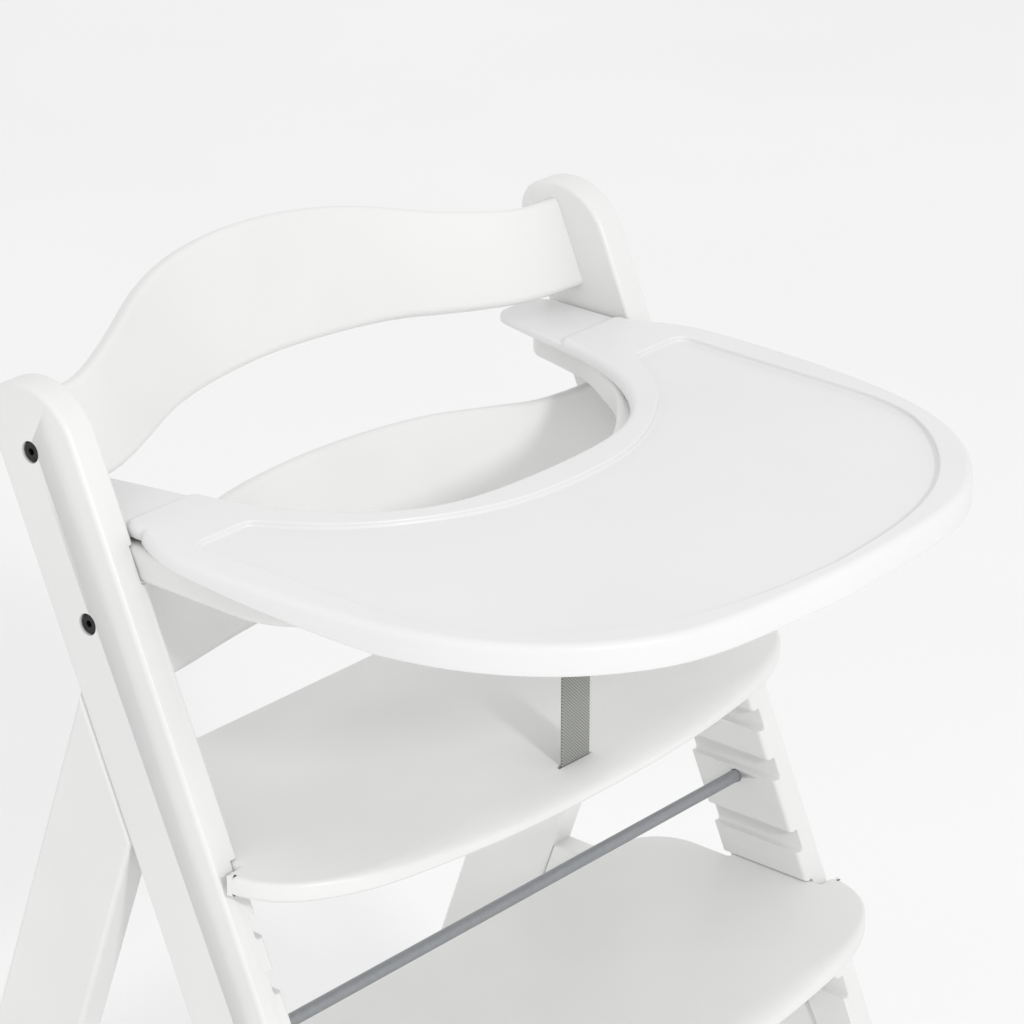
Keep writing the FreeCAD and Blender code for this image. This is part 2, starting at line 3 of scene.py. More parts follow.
import bmesh
import bpy
import numpy as np
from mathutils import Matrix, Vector


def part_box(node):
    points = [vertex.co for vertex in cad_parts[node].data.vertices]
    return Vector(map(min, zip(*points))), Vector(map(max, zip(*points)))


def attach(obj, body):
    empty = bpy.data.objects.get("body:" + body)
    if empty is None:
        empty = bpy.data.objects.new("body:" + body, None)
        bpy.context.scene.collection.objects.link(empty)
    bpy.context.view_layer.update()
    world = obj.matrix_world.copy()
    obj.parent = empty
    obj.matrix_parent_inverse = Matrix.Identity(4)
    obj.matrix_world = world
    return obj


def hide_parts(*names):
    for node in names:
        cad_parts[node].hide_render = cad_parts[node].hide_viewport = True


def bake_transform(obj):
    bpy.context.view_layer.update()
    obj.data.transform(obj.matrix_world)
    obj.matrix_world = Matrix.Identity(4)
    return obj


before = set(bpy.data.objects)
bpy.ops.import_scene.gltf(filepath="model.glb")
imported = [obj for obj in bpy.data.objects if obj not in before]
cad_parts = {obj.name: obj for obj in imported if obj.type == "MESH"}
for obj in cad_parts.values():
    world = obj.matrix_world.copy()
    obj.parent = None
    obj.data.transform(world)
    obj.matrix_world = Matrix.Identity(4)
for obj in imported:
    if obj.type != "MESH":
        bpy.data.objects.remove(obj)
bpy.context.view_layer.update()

MM = 0.001
LEAN = math.radians(23.6)
REAR_LEAN = math.radians(19.5)
STOCK_T = 20 * MM              # thickness of the uprights
STOCK_W = 62 * MM              # their width
GROOVE_REACH = 5.5 * MM        # boards' ears past the uprights' inner faces
TAIL_INSET = 2 * MM            # boards' tails inside those faces
BACK_T = 12 * MM               # thickness of the backrests
BACK_END = 34 * MM             # middle of their ends behind the uprights' front face
BACK_BOW = 52 * MM             # how far their middle sits behind their ends
UPPER_CROWN = 49 * MM          # rise of the upper backrest's top edge
UPPER_HOLLOW = 26 * MM         # the same for its bottom edge
UPPER_END_H = 57 * MM          # height of its ends
LOWER_CROWN = 21 * MM
LOWER_END_H = 58.5 * MM
BAR_CORNER = 55 * MM
WRAP = 1.95 * MM               # webbing and its clearance round the bar
WEBBING_T = 1.5 * MM
WEBBING_HALF = 12.5 * MM
TRAY_INSET = 4.5 * MM          # tray's widest point inside the outside of the uprights
ARM_GAP = 1.5 * MM             # tray arm to the upright's inner face
TRAY_PLATE = 8 * MM            # rim top to underside
SKIRT_END = 30 * MM            # where the skirt has run out, ahead of the uprights
SKIRT_FADE = 160 * MM          # length over which it runs out
TRAY_OPENING = 118.2 * MM      # front of the U opening ahead of the uprights
WING_CLEAR = 11.7 * MM         # back of the tray's wings ahead of the uprights
ARM_STEP = 8.3 * MM            # where the raised rim ends, behind the same face
ARM_DROP = 3 * MM              # arms below the rim
RECESS = 3.5 * MM
LINE = 2.5 * MM                # spacing of points along curves
MESH_STEP = 4 * MM             # spacing of points along outlines


# ---------------------------------------------------------------- outlines

def curve_through(points, step):
    """Dense points on the smooth curve through a few points."""
    p = np.array(points, float)
    t = np.concatenate([[0], np.cumsum(np.linalg.norm(np.diff(p, axis=0), axis=1))])
    n = len(p)
    h = np.diff(t)
    a = np.eye(n)
    b = np.zeros_like(p)
    for i in range(1, n - 1):
        a[i, i - 1:i + 2] = h[i - 1], 2 * (h[i - 1] + h[i]), h[i]
        b[i] = 6 * ((p[i + 1] - p[i]) / h[i] - (p[i] - p[i - 1]) / h[i - 1])
    m = np.linalg.solve(a, b)
    out = []
    for s in np.linspace(0, t[-1], max(2, int(t[-1] / step) + 1)):
        i = min(np.searchsorted(t, s, side="right") - 1, n - 2)
        u, v = t[i + 1] - s, s - t[i]
        curve = (m[i] * u ** 3 + m[i + 1] * v ** 3) / (6 * h[i])
        line = (p[i] / h[i] - m[i] * h[i] / 6) * u + (p[i + 1] / h[i] - m[i + 1] * h[i] / 6) * v
        out.append(curve + line)
    return out


def rounded_path(points, radii, steps=8):
    """Open path with its inner corners rounded by the radii given, one for each corner."""
    p = [np.array(q, float) for q in points]
    out = [p[0]]
    for a, b, c, r in zip(p, p[1:], p[2:], radii):
        u, v = (a - b) / np.linalg.norm(a - b), (c - b) / np.linalg.norm(c - b)
        half = math.acos(max(-1.0, min(1.0, float(u @ v)))) / 2
        back = r / math.tan(half)
        middle = b + (u + v) / np.linalg.norm(u + v) * r / math.sin(half)
        start, end = b + u * back, b + v * back
        s, e = start - middle, end - middle
        turn = math.pi - 2 * half
        for i in range(steps + 1):
            f = i / steps
            out.append(middle + (s * math.sin((1 - f) * turn) + e * math.sin(f * turn)) / math.sin(turn))
    out.append(p[-1])
    return out


def scaled(table, half, start, length):
    return [(fx * half, start + fy * length) for fx, fy in table]


def mirror_loop(right):
    """Closed loop, anticlockwise, from its right half running from the front to the back."""
    right = np.array(right, float)
    clean = [right[0]]
    for q in right[1:]:
        if np.linalg.norm(q - clean[-1]) > 0.05 * MM:
            clean.append(q)
    left = [q * (-1, 1) for q in reversed(clean) if q[0] > 0.05 * MM]
    return np.array(clean + left)


def resampled(loop, step):
    """Same closed loop, with its long straight stretches divided."""
    out = []
    for a, b in zip(loop, np.roll(loop, -1, axis=0)):
        n = max(1, int(np.linalg.norm(b - a) / step))
        out += [a + (b - a) * i / n for i in range(n)]
    return np.array(out)


def inward(loop):
    """Inward direction at each point, long enough to move both sides by one unit."""
    before = loop - np.roll(loop, 1, axis=0)
    after = np.roll(loop, -1, axis=0) - loop
    before /= np.linalg.norm(before, axis=1)[:, None]
    after /= np.linalg.norm(after, axis=1)[:, None]
    n1 = np.stack([-before[:, 1], before[:, 0]], axis=1)
    n2 = np.stack([-after[:, 1], after[:, 0]], axis=1)
    n = n1 + n2
    return n / np.maximum(0.4, (1 + np.sum(n1 * n2, axis=1)))[:, None]


# ---------------------------------------------------------------- meshes

def finished_object(name, bm, sharp=35.0):
    bmesh.ops.recalc_face_normals(bm, faces=bm.faces[:])
    mesh = bpy.data.meshes.new(name)
    bm.to_mesh(mesh)
    bm.free()
    mesh.shade_smooth()
    mesh.set_sharp_from_angle(angle=math.radians(sharp))
    obj = bpy.data.objects.new(name, mesh)
    bpy.context.scene.collection.objects.link(obj)
    return obj


def add_ring(bm, xy, z):
    z = np.broadcast_to(z, len(xy))
    return [bm.verts.new((q[0], q[1], h)) for q, h in zip(xy, z)]


def join_rings(bm, a, b):
    n = len(a)
    for i in range(n):
        bm.faces.new((a[i], a[(i + 1) % n], b[(i + 1) % n], b[i]))


def fill_flat(bm, *loops):
    """Flat fill inside the first loop and outside the others."""
    edges = []
    for loop in loops:
        n = len(loop)
        edges += [bm.edges.get((loop[i], loop[(i + 1) % n])) or bm.edges.new((loop[i], loop[(i + 1) % n]))
                  for i in range(n)]
    bmesh.ops.triangle_fill(bm, use_beauty=True, use_dissolve=False, edges=edges)


def quarter(n):
    """Angles of a quarter turn in n steps."""
    return [math.pi / 2 * i / n for i in range(n + 1)]


def slab(bm, loop, bottom, top, top_in, top_down, low_in, low_down, holes=()):
    """Board with rounded edges; the roundings may change from point to point along its outline."""
    normal = inward(loop)
    size = len(loop)
    roundings = (top_in, top_down, low_in, low_down)
    top_in, top_down, low_in, low_down = (np.broadcast_to(v, size) for v in roundings)
    rings = []
    for a in quarter(7):
        rings.append(add_ring(bm, loop + normal * (low_in * (1 - math.sin(a)))[:, None],
                              bottom + low_down * (1 - math.cos(a))))
    for a in quarter(9):
        rings.append(add_ring(bm, loop + normal * (top_in * (1 - math.cos(a)))[:, None],
                              top - top_down * (1 - math.sin(a))))
    for a, b in zip(rings, rings[1:]):
        join_rings(bm, a, b)
    top_rings, low_rings = [rings[-1]], [rings[0]]
    for hole, lip in holes:
        flare = -inward(hole) * lip
        chain = [add_ring(bm, hole, bottom)]
        for a in quarter(4):
            chain.append(add_ring(bm, hole + flare * (1 - math.cos(a)), top - lip * (1 - math.sin(a))))
        for a, b in zip(chain, chain[1:]):
            join_rings(bm, a, b)
        top_rings.append(chain[-1])
        low_rings.append(chain[0])
    fill_flat(bm, *top_rings)
    fill_flat(bm, *low_rings)


def plate(name, *shape):
    bm = bmesh.new()
    slab(bm, *shape)
    return finished_object(name, bm)


def loft(name, sections):
    """Skin over closed sections that have the same number of points, closed at both ends."""
    bm = bmesh.new()
    rings = [[bm.verts.new(tuple(p)) for p in section] for section in sections]
    for a, b in zip(rings, rings[1:]):
        join_rings(bm, a, b)
    bm.faces.new(rings[0])
    bm.faces.new(rings[-1])
    return finished_object(name, bm)


def eased(bm, width, chosen):
    """Rounds off the sharp edges for which chosen is true, leaving the rims of screw holes crisp."""
    hole_facet = 25 * MM * MM
    edges = []
    for e in bm.edges:
        if len(e.link_faces) != 2 or min(f.calc_area() for f in e.link_faces) < hole_facet:
            continue
        if e.calc_face_angle(0) > math.radians(40) and chosen(e):
            edges.append(e)
    bmesh.ops.bevel(bm, geom=edges, offset=width, segments=3, profile=0.5, affect="EDGES",
                    clamp_overlap=False, offset_type="OFFSET")


def groove_lip(edge):
    """True for the long lower lip of a groove, where a board slides in."""
    side = any(abs(f.normal.x) > 0.9 for f in edge.link_faces)
    ledge = any(f.normal.z > 0.99 and f.calc_center_median().z < post_top - STOCK_T for f in edge.link_faces)
    return side and ledge


def bevelled_copy(name, node, width, lip_width):
    """Copy of a side piece with its edges eased, and the lower lips of its grooves eased more."""
    bm = bmesh.new()
    bm.from_mesh(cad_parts[node].data)
    bmesh.ops.remove_doubles(bm, verts=bm.verts[:], dist=0.01 * MM)
    bmesh.ops.dissolve_limit(bm, angle_limit=math.radians(1.0), verts=bm.verts[:], edges=bm.edges[:])
    bm.normal_update()
    eased(bm, lip_width, groove_lip)
    bm.normal_update()
    eased(bm, width, lambda edge: True)
    return finished_object(name, bm, 30.0)


# ---------------------------------------------------------------- materials

def new_material(name, roughness, metallic=0.0, coat=0.0, coat_roughness=0.2, sheen=0.0):
    mat = bpy.data.materials.new(name)
    mat.use_nodes = True
    shader = mat.node_tree.nodes["Principled BSDF"]
    shader.inputs["Metallic"].default_value = metallic
    shader.inputs["Roughness"].default_value = roughness
    shader.inputs["Coat Weight"].default_value = coat
    shader.inputs["Coat Roughness"].default_value = coat_roughness
    shader.inputs["Sheen Weight"].default_value = sheen
    shader.inputs["IOR"].default_value = 1.5
    return mat, mat.node_tree, shader


def add(tree, kind, **values):
    node = tree.nodes.new(kind)
    for key, value in values.items():
        if key in node.inputs:
            node.inputs[key].default_value = value
        else:
            setattr(node, key.lower(), value)
    return node


def noise(tree, vector, scale, detail=3.0, rough=0.5):
    node = add(tree, "ShaderNodeTexNoise", Scale=scale, Detail=detail, Roughness=rough)
    tree.links.new(vector, node.inputs["Vector"])
    return node.outputs["Fac"]


def mapped(tree, scale=(1, 1, 1), rotation=(0, 0, 0)):
    coords = add(tree, "ShaderNodeTexCoord")
    mapping = add(tree, "ShaderNodeMapping", Scale=scale, Rotation=rotation)
    tree.links.new(coords.outputs["Object"], mapping.inputs["Vector"])
    return mapping.outputs["Vector"]


def ramp(tree, factor, low, high, start=0.3, end=0.7):
    node = add(tree, "ShaderNodeValToRGB")
    node.color_ramp.elements[0].position = start
    node.color_ramp.elements[0].color = (*low, 1)
    node.color_ramp.elements[1].position = end
    node.color_ramp.elements[1].color = (*high, 1)
    tree.links.new(factor, node.inputs["Fac"])
    return node.outputs["Color"]


def value_range(tree, factor, low, high):
    node = add(tree, "ShaderNodeMapRange")
    node.inputs["From Min"].default_value = 0.3
    node.inputs["From Max"].default_value = 0.7
    node.inputs["To Min"].default_value = low
    node.inputs["To Max"].default_value = high
    tree.links.new(factor, node.inputs["Value"])
    return node.outputs["Result"]


def bump(tree, height, strength, distance, after=None):
    node = add(tree, "ShaderNodeBump", Strength=strength, Distance=distance)
    tree.links.new(height, node.inputs["Height"])
    if after is not None:
        tree.links.new(after, node.inputs["Normal"])
    return node.outputs["Normal"]


def lacquer(name, lean=0.0, grain_axis="z", low=(0.74, 0.74, 0.735), high=(0.78, 0.78, 0.77)):
    """Satin white lacquer with the timber's grain just showing through it."""
    mat, tree, shader = new_material(name, 0.38, coat=0.25, coat_roughness=0.28)
    stretch = {"z": (1, 1, 0.05), "x": (0.05, 1, 1)}[grain_axis]
    along = mapped(tree, rotation=(lean, 0, 0))
    grain_map = add(tree, "ShaderNodeMapping", Scale=stretch)
    tree.links.new(along, grain_map.inputs["Vector"])
    grain = noise(tree, grain_map.outputs["Vector"], 420.0, 6.0, 0.6)
    cloud = noise(tree, mapped(tree), 9.0, 2.0)
    peel = noise(tree, mapped(tree), 900.0, 2.0)
    tree.links.new(ramp(tree, cloud, low, high), shader.inputs["Base Color"])
    tree.links.new(value_range(tree, grain, 0.33, 0.45), shader.inputs["Roughness"])
    fine = bump(tree, peel, 0.05, 0.2 * MM)
    tree.links.new(bump(tree, grain, 0.10, 0.2 * MM, fine), shader.inputs["Normal"])
    return mat


def moulded_white(name, low, high, rough_low, rough_high):
    """Moulded plastic with a fine eroded texture."""
    mat, tree, shader = new_material(name, 0.3, coat=0.15, coat_roughness=0.15)
    cloud = noise(tree, mapped(tree), 6.0, 2.0)
    spark = noise(tree, mapped(tree), 1400.0, 3.0, 0.6)
    tree.links.new(ramp(tree, cloud, low, high), shader.inputs["Base Color"])
    tree.links.new(value_range(tree, spark, rough_low, rough_high), shader.inputs["Roughness"])
    tree.links.new(bump(tree, spark, 0.06, 0.1 * MM), shader.inputs["Normal"])
    return mat


def painted_metal(name, low, high, roughness, metallic):
    mat, tree, shader = new_material(name, roughness, metallic=metallic)
    mottle = noise(tree, mapped(tree), 260.0, 3.0)
    grit = noise(tree, mapped(tree), 2200.0, 2.0)
    tree.links.new(ramp(tree, mottle, low, high), shader.inputs["Base Color"])
    tree.links.new(value_range(tree, mottle, roughness - 0.05, roughness + 0.08), shader.inputs["Roughness"])
    tree.links.new(bump(tree, grit, 0.15, 0.1 * MM), shader.inputs["Normal"])
    return mat


def math_node(tree, operation, a, b=None):
    node = add(tree, "ShaderNodeMath")
    node.operation = operation
    for socket, value in zip(node.inputs, (a, b)):
        if value is None:
            continue
        if isinstance(value, (int, float)):
            socket.default_value = value
        else:
            tree.links.new(value, socket)
    return node.outputs[0]


def twill(name):
    """Grey webbing: diagonal twill ribs across a strap that runs along its Y and Z."""
    mat, tree, shader = new_material(name, 0.75, sheen=0.3)
    coords = add(tree, "ShaderNodeTexCoord")
    parts = add(tree, "ShaderNodeSeparateXYZ")
    tree.links.new(coords.outputs["Object"], parts.inputs[0])
    along = math_node(tree, "ADD", parts.outputs["Y"], parts.outputs["Z"])
    across = parts.outputs["X"]
    rib = math_node(tree, "MULTIPLY", math_node(tree, "ADD", along, across), 2 * math.pi / (2.0 * MM))
    diagonal = math_node(tree, "SINE", rib)
    pick = math_node(tree, "SINE", math_node(tree, "MULTIPLY", along, 2 * math.pi / (0.75 * MM)))
    end = math_node(tree, "SINE", math_node(tree, "MULTIPLY", across, 2 * math.pi / (0.9 * MM)))
    thread = math_node(tree, "MULTIPLY", pick, end)
    weave = math_node(tree, "ADD", diagonal, math_node(tree, "MULTIPLY", thread, 0.6))
    height = math_node(tree, "ADD", math_node(tree, "MULTIPLY", weave, 0.3), 0.5)
    tree.links.new(ramp(tree, height, (0.13, 0.135, 0.125), (0.36, 0.37, 0.35), 0.1, 0.9),
                   shader.inputs["Base Color"])
    fuzz = noise(tree, mapped(tree), 1500.0, 3.0)
    tree.links.new(value_range(tree, fuzz, 0.65, 0.9), shader.inputs["Roughness"])
    fine = bump(tree, fuzz, 0.15, 0.1 * MM)
    tree.links.new(bump(tree, height, 0.5, 0.25 * MM, fine), shader.inputs["Normal"])
    return mat


post_lacquer = lacquer("post_lacquer", lean=-LEAN)
rear_lacquer = lacquer("rear_lacquer", lean=REAR_LEAN)
cross_lacquer = lacquer("cross_lacquer", grain_axis="x")
tray_white = moulded_white("tray_white", (0.75, 0.75, 0.75), (0.78, 0.78, 0.78), 0.3, 0.38)
clip_white = moulded_white("clip_white", (0.78, 0.78, 0.78), (0.82, 0.82, 0.82), 0.4, 0.5)
stop_black = moulded_white("stop_black", (0.02, 0.02, 0.02), (0.04, 0.04, 0.04), 0.45, 0.6)
rod_grey = painted_metal("rod_grey", (0.27, 0.28, 0.295), (0.30, 0.31, 0.325), 0.35, 0.3)
bolt_black = painted_metal("bolt_black", (0.012, 0.012, 0.012), (0.03, 0.03, 0.03), 0.4, 0.6)
webbing = twill("webbing_twill")


def dress(obj, material, slot, body, *nodes):
    """Gives a new piece its material and its body, and hides the node it stands for; the slot argument is not
    used.
    """
    obj.data.materials.clear()
    obj.data.materials.append(material)
    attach(obj, body)
    if nodes:
        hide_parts(*nodes)
    return obj


def repaint(node, material):
    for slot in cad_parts[node].material_slots:
        slot.material = material


# ---------------------------------------------------------------- places, all from the frame

tray_low, tray_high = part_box("tray")
bar_low, bar_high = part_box("bumper_bar")
seat_low, seat_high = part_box("seat_board")
foot_low, foot_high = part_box("foot_board")
post_low, post_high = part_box("upright_right")
strap_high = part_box("crotch_strap")[1]
half_in, half_out = post_low[0], post_high[0]
toe_y = post_low[1]
post_top = post_high[2]


def face_y(z):
    """Front face of the uprights at height z."""
    return toe_y + z * math.tan(LEAN)


def back_face_y(z):
    return face_y(z) + STOCK_W / math.cos(LEAN)


# ---------------------------------------------------------------- boards

def board_loop(low, high):
    """Outline of a seat or foot board, whose tail is narrower than the gap between the legs."""
    under = low[2]
    wing_back = face_y(under) - 1 * MM
    ear = half_in + GROOVE_REACH
    inner = half_in - TAIL_INSET
    ear_end = back_face_y(under) - TAIL_INSET
    table = [(0.0, 0.0), (0.2, 0.013), (0.39, 0.056), (0.59, 0.138), (0.74, 0.232), (0.85, 0.37),
             (0.93, 0.54), (0.98, 0.76), (1.0, 1.0)]
    right = curve_through(scaled(table, high[0], low[1], wing_back - low[1]), LINE)
    right.pop()
    wing = (high[0], wing_back)
    path = [right[-1], wing, (ear, wing_back), (ear, ear_end)]
    path += [(inner, ear_end), (inner, high[1]), (0, high[1])]
    right += rounded_path(path, [5 * MM, 1.5 * MM, 2 * MM, 1.5 * MM, 38 * MM], 10)[1:]
    return resampled(mirror_loop(right), MESH_STEP)


def front_weight(loop, low_y, half, fade):
    """One along the front edge's middle, fading to zero along its wings."""
    across = np.clip(1 - np.abs(loop[:, 0]) / (half * fade), 0, 1)
    ahead = np.clip(1 - (loop[:, 1] - low_y) / (60 * MM), 0, 1)
    soft = across * (2 - across) * ahead
    return soft * soft * (3 - 2 * soft)


def slot_loop(y, half, radius):
    right = [(0, y - radius)]
    right += [(half + radius * math.sin(a), y - radius * math.cos(a)) for a in np.linspace(0, math.pi, 13)]
    right += [(0, y + radius)]
    return mirror_loop(right)


strap_y = (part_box("strap_stop")[0][1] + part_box("strap_stop")[1][1]) / 2

seat_loop = board_loop(seat_low, seat_high)
weight = front_weight(seat_loop, seat_low[1], half_in, 1.05)
seat = plate("seat_panel", seat_loop, seat_low[2], seat_high[2], 3 * MM + 20 * MM * weight,
             3 * MM + 5 * MM * weight, 2.5 * MM, 2.5 * MM,
             [(slot_loop(strap_y, WEBBING_HALF, 2 * MM), 1.2 * MM)])
dress(seat, cross_lacquer, "board_lacquer", "seat", "seat_board")

foot_loop = board_loop(foot_low, foot_high)
weight = front_weight(foot_loop, foot_low[1], half_in, 1.05)
foot = plate("foot_panel", foot_loop, foot_low[2], foot_high[2], 3 * MM + 14 * MM * weight,
             3 * MM + 4 * MM * weight, 2.5 * MM, 2.5 * MM)
dress(foot, cross_lacquer, "board_lacquer", "footrest", "foot_board")


# ---------------------------------------------------------------- bumper bar

def bar_half():
    """Right half of the bumper bar's outline."""
    inner_front = strap_high[1] - WRAP
    table = [(0.0, 0.0), (0.186, 0.014), (0.349, 0.069), (0.465, 0.158), (0.567, 0.26), (0.633, 0.341),
             (0.721, 0.503), (0.795, 0.675), (0.823, 0.801), (0.843, 0.909), (0.851, 1.0)]
    inner = curve_through(scaled(table, half_in, inner_front, bar_high[1] - inner_front), LINE)[::-1]
    path = [(0, bar_low[1]), (bar_high[0], bar_low[1]), (bar_high[0], bar_high[1]), inner[0], inner[1]]
    return rounded_path(path, [BAR_CORNER, 2 * MM, 14 * MM], 16)[:-1] + inner[6:]


bar_outline = resampled(mirror_loop(bar_half()), MESH_STEP)
bar = plate("bumper_rail", bar_outline, bar_low[2], bar_high[2], 4 * MM, 4 * MM, 4 * MM, 4 * MM)
dress(bar, cross_lacquer, "board_lacquer", "chair_frame", "bumper_bar")


# ---------------------------------------------------------------- bent backrests

BEND = [(0.0, 1.0), (0.19, 0.97), (0.37, 0.83), (0.56, 0.58), (0.74, 0.29), (0.88, 0.10), (1.0, 0.0)]


def along_post(u, d):
    y = toe_y + u * math.sin(LEAN) + d * math.cos(LEAN)
    z = u * math.cos(LEAN) - d * math.sin(LEAN)
    return y, z


def table_curve(table):
    """Smooth function of x/half from a table for the right half."""
    both = [(-a, b) for a, b in reversed(table[1:])] + list(table)
    pts = np.array(curve_through(both, 0.004))
    return lambda f: float(np.interp(f, pts[:, 0], pts[:, 1]))


def bent_board(name, low_at, high_at, radius=4 * MM):
    """Board bent across the chair; low_at and high_at give its edges along the posts."""
    bend = table_curve(BEND)
    end = half_in - 0.1 * MM
    sections = []
    for f in np.linspace(-1, 1, 121):
        middle = BACK_END + BACK_BOW * bend(f)
        low, high = low_at(f) + radius, high_at(f) - radius
        front, back = middle - BACK_T / 2 + radius, middle + BACK_T / 2 - radius
        section = []
        corners = ((low, front, 270), (high, front, 180), (high, back, 90), (low, back, 0))
        for u, d, first in corners:
            for i in range(7):
                a = math.radians(first - 15 * i)
                section.append((f * end, *along_post(u + radius * math.sin(a), d + radius * math.cos(a))))
        sections.append(section)
    return loft(name, sections)


UPPER_TOP = [(0.0, 1.0), (0.18, 0.95), (0.33, 0.83), (0.48, 0.62), (0.62, 0.36), (0.78, 0.12),
             (0.9, 0.01), (1.0, 0.0)]
UPPER_LOW = [(0.0, 1.0), (0.22, 0.92), (0.41, 0.76), (0.56, 0.5), (0.72, 0.2), (0.86, 0.04), (1.0, 0.0)]
LOWER_TOP = [(0.0, 1.0), (0.23, 0.93), (0.39, 0.8), (0.55, 0.51), (0.67, 0.24), (0.82, 0.01), (1.0, 0.0)]

upper_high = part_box("upper_backrest")[1][2]
back_top_u = (upper_high + (BACK_END + BACK_BOW - BACK_T / 2) * math.sin(LEAN)) / math.cos(LEAN)
ends_u = back_top_u - UPPER_CROWN
top_at, low_at = table_curve(UPPER_TOP), table_curve(UPPER_LOW)
upper = bent_board("upper_back_panel", lambda f: ends_u - UPPER_END_H + UPPER_HOLLOW * low_at(f),
                   lambda f: ends_u + UPPER_CROWN * top_at(f))
dress(upper, cross_lacquer, "board_lacquer", "chair_frame", "upper_backrest")

lower_top_u = (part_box("lower_backrest")[1][2] + (BACK_END - BACK_T / 2) * math.sin(LEAN)) / math.cos(LEAN)
lower_at = table_curve(LOWER_TOP)
lower = bent_board("lower_back_panel", lambda f: lower_top_u - LOWER_END_H,
                   lambda f: lower_top_u + LOWER_CROWN * lower_at(f))
dress(lower, cross_lacquer, "board_lacquer", "chair_frame", "lower_backrest")


# ---------------------------------------------------------------- tray

tray_top = tray_high[2]
tray_under = tray_top - TRAY_PLATE
tray_face = face_y(tray_top)
tray_half = half_out - TRAY_INSET
arm_side = half_in - ARM_GAP
rim_end = tray_face + ARM_STEP


def opening_edge(from_y, to_y):
    """Right side of the tray's U opening between two depths, from the back to the front."""
    opening = [(0.0, 0.0), (0.232, 0.016), (0.405, 0.074), (0.541, 0.195), (0.646, 0.368), (0.714, 0.58),
               (0.758, 0.817), (0.781, 0.932), (0.795, 1.0)]
    u_front = tray_face - TRAY_OPENING
    curve = curve_through(scaled(opening, half_in, u_front, tray_high[1] - u_front), LINE)
    return [q for q in curve[::-1] if to_y >= q[1] >= from_y]


def rim_half():
    """Right half of the raised rim's outline."""
    outer = [(0.0, 0.0), (0.26, 0.009), (0.425, 0.022), (0.564, 0.05), (0.664, 0.091), (0.772, 0.157),
             (0.859, 0.239), (0.924, 0.336), (0.972, 0.477), (0.989, 0.58), (1.0, 0.725), (1.0, 0.83),
             (0.985, 0.927), (0.94, 1.0)]
    wing_back = tray_face - WING_CLEAR
    right = curve_through(scaled(outer, tray_half, tray_low[1], wing_back - tray_low[1]), LINE)
    inner = opening_edge(tray_low[1], rim_end)
    corner = wing_back + right[-1][0] - arm_side
    path = [right[-1], (arm_side, corner), (arm_side, rim_end), (inner[0][0], rim_end), inner[8]]
    return right + rounded_path(path, [3 * MM, 8 * MM, 8 * MM], 10)[1:] + inner[9:]


def arm_loop(side):
    """Outline of a tray arm, which starts under the rim and lies beside the post."""
    margin = 0.3 * MM
    inner = opening_edge(rim_end - 12 * MM, tray_high[1])
    start = inner[-1][1]
    outer = arm_side - margin
    path = [(outer, start), (outer, tray_high[1]), inner[0], inner[7]]
    right = rounded_path(path, [16 * MM, 14 * MM], 10) + inner[8:]
    outline = np.array(right if side > 0 else right[::-1]) * (side, 1)
    return resampled(outline, MESH_STEP)


def recess_loop():
    reach = tray_face - tray_low[1]
    outer = [(0.0, 0.03), (0.254, 0.045), (0.527, 0.099), (0.733, 0.2), (0.869, 0.335), (0.905, 0.528),
             (0.909, 0.743), (0.915, 0.866)]
    inner = [(0.725, 0.866), (0.594, 0.741), (0.4165, 0.648), (0.254, 0.598), (0.13, 0.581), (0.0, 0.576)]
    far = curve_through(scaled(outer, tray_half, tray_low[1], reach), LINE)
    near = curve_through(scaled(inner, tray_half, tray_low[1], reach), LINE)
    path = [far[-8], far[-1], near[0], near[8]]
    right = far[:-8] + rounded_path(path, [9 * MM, 9 * MM], 10) + near[9:]
    return resampled(mirror_loop(right), MESH_STEP)


def skirt_bottom(outline):
    """Lower edge of the tray at each point: a skirt that runs out along the wings, and none inside."""
    fade_end = tray_face - SKIRT_END
    fade_start = fade_end - SKIRT_FADE
    gone = np.clip((outline[:, 1] - fade_start) / (fade_end - fade_start), 0, 1)
    outside = (np.abs(outline[:, 0]) > half_in - 3 * MM) | (outline[:, 1] < tray_face - 130 * MM)
    return np.where(outside, tray_low[2] + (tray_under - tray_low[2]) * gone, tray_under)


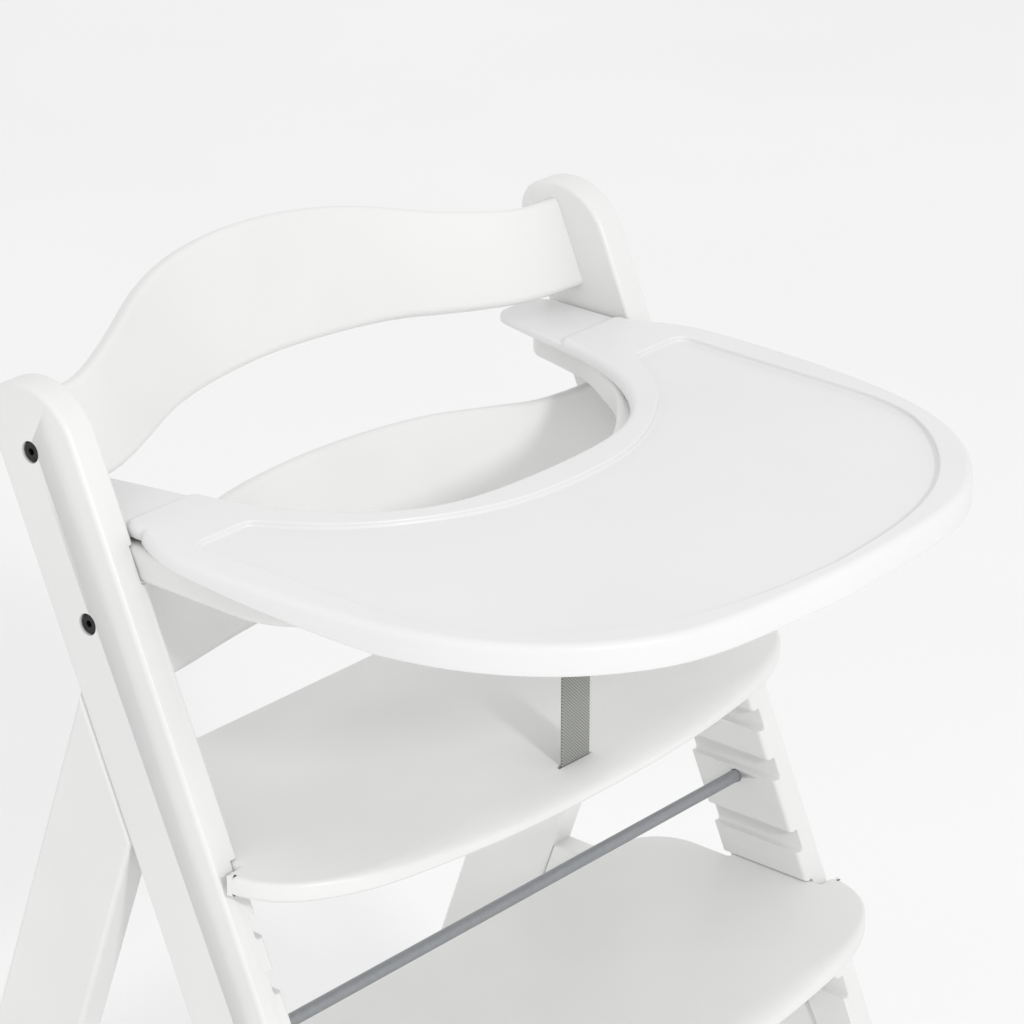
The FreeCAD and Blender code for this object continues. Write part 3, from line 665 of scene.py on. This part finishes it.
def make_tray():
    outer = resampled(mirror_loop(rim_half()), MESH_STEP)
    recess = recess_loop()
    low = skirt_bottom(outer)
    in_out, in_rec = inward(outer), inward(recess)
    bm = bmesh.new()
    rings = [add_ring(bm, outer + in_out * 7 * MM, tray_under)]
    rings.append(add_ring(bm, outer + in_out * 5 * MM, tray_under))
    rings.append(add_ring(bm, outer + in_out * 4 * MM, np.minimum(tray_under, low + 1 * MM)))
    for a in quarter(3):
        r = 1.2 * MM
        rings.append(add_ring(bm, outer + in_out * r * (1 - math.sin(a)), low + r * (1 - math.cos(a))))
    for a in quarter(8):
        r = 4.5 * MM
        rings.append(add_ring(bm, outer + in_out * r * (1 - math.cos(a)), tray_top - r * (1 - math.sin(a))))
    rings.append(add_ring(bm, outer + in_out * 5.2 * MM, tray_top))
    for a, b in zip(rings, rings[1:]):
        join_rings(bm, a, b)
    floor = tray_top - RECESS
    dip = [add_ring(bm, recess - in_rec * 1.6 * MM, tray_top)]
    for a in quarter(5):
        r = 1.0 * MM
        dip.append(add_ring(bm, recess - in_rec * r * (1 - math.sin(a)), tray_top - r * (1 - math.cos(a))))
    for a in quarter(5):
        r = 1.6 * MM
        dip.append(add_ring(bm, recess + in_rec * r * (1 - math.cos(a)), floor + r * (1 - math.sin(a))))
    dip.append(add_ring(bm, recess + in_rec * 3 * MM, floor))
    for a, b in zip(dip, dip[1:]):
        join_rings(bm, a, b)
    fill_flat(bm, rings[-1], dip[0])
    fill_flat(bm, dip[-1])
    fill_flat(bm, rings[0])
    for side in (1, -1):
        slab(bm, arm_loop(side), tray_under + 0.2 * MM, tray_top - ARM_DROP, 2 * MM, 2 * MM, 1 * MM, 1 * MM)
    return finished_object("tray_shell", bm)


tray = make_tray()
dress(tray, tray_white, "tray_plastic", "tray_unit", "tray")


# ---------------------------------------------------------------- strap

def make_strap():
    """One length of webbing: up from the stop, round the bar and down behind itself."""
    y0, y1 = bar_low[1] - 1.1 * MM, strap_high[1] - 0.9 * MM
    z0, z1 = bar_low[2] - 1.1 * MM, bar_high[2] + 1.1 * MM
    stop_z = (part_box("strap_stop")[0][2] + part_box("strap_stop")[1][2]) / 2
    corners = [(y0, stop_z), (y0, z1), (y1, z1), (y1, z0), (y0 + 1.7 * MM, z0), (y0 + 1.7 * MM, z0 - 24 * MM)]
    path = rounded_path(corners, [4 * MM, 4 * MM, 4 * MM, 2.5 * MM], 8)
    dense = []
    for a, b in zip(path, path[1:]):
        n = max(1, int(np.linalg.norm(b - a) / MESH_STEP))
        dense += [a + (b - a) * i / n for i in range(n)]
    dense.append(path[-1])
    dense = np.array(dense)
    tangent = np.gradient(dense, axis=0)
    tangent /= np.linalg.norm(tangent, axis=1)[:, None]
    normal = np.stack([tangent[:, 1], -tangent[:, 0]], axis=1)
    sections = []
    edge = WEBBING_T / 2
    for p, n in zip(dense, normal):
        ring = []
        for side in (-1, 1):
            for i in range(7):
                a = math.radians(-90 + 30 * i)
                across = side * (WEBBING_HALF - edge + edge * math.cos(a))
                ring.append((across, *(p + n * side * edge * math.sin(a))))
        sections.append(ring)
    return loft("harness_strap", sections)


strap = make_strap()
strap.data.materials.append(webbing)
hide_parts("crotch_strap")
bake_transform(strap)


# ---------------------------------------------------------------- frame pieces

for side in ("left", "right"):
    post = bevelled_copy("post_" + side, "upright_" + side, 1.0 * MM, 2.0 * MM)
    dress(post, post_lacquer, "frame_lacquer", "chair_frame", "upright_" + side)
    repaint("rear_leg_" + side, rear_lacquer)
    repaint("side_strut_" + side, post_lacquer)
repaint("rear_crossbar", cross_lacquer)
repaint("tray_clips", clip_white)
repaint("strap_stop", stop_black)
for node in ("seat_rod", "foot_rod"):
    repaint(node, rod_grey)
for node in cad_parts:
    if node.endswith("_bolts") or node.endswith("_screws"):
        repaint(node, bolt_black)


# ---------------------------------------------------------------- floor, light and camera

def floor_material():
    mat, tree, shader = new_material("studio_floor", 0.6)
    cloud = noise(tree, mapped(tree), 1.5, 2.0)
    tree.links.new(ramp(tree, cloud, (0.92, 0.92, 0.92), (0.94, 0.94, 0.94)), shader.inputs["Base Color"])
    return mat


def make_floor():
    bm = bmesh.new()
    bmesh.ops.create_grid(bm, x_segments=2, y_segments=2, size=6.0)
    floor = finished_object("studio_floor", bm)
    floor.data.materials.append(floor_material())


def area_light(name, place, target, size, power):
    data = bpy.data.lights.new(name, "AREA")
    data.energy = power
    data.shape = "SQUARE"
    data.size = size
    light = bpy.data.objects.new(name, data)
    light.location = place
    light.rotation_euler = Vector(np.array(target) - np.array(place)).to_track_quat("-Z", "Y").to_euler()
    bpy.context.scene.collection.objects.link(light)


def make_world():
    world = bpy.data.worlds.new("studio")
    world.use_nodes = True
    background = world.node_tree.nodes["Background"]
    background.inputs["Color"].default_value = (1.0, 1.0, 1.0, 1.0)
    background.inputs["Strength"].default_value = 0.92
    bpy.context.scene.world = world


def make_camera():
    data = bpy.data.cameras.new("camera")
    data.sensor_width = 36.0
    data.lens = 151.439
    data.clip_end = 50.0
    camera = bpy.data.objects.new("camera", data)
    camera.location = (-1.7110, -1.5262, 1.6455)
    camera.rotation_euler = (math.radians(90 - 23.24), 0.0, -math.radians(49.12))
    bpy.context.scene.collection.objects.link(camera)
    bpy.context.scene.camera = camera


make_floor()
make_world()
make_camera()
area_light("key", (-1.176, -3.256, 2.5), (0, 0, 0.5), 0.35, 44)
area_light("fill", (-3.0, 0.3, 1.4), (0, 0, 0.5), 2.0, 2.5)
bpy.context.scene.view_settings.view_transform = "Standard"
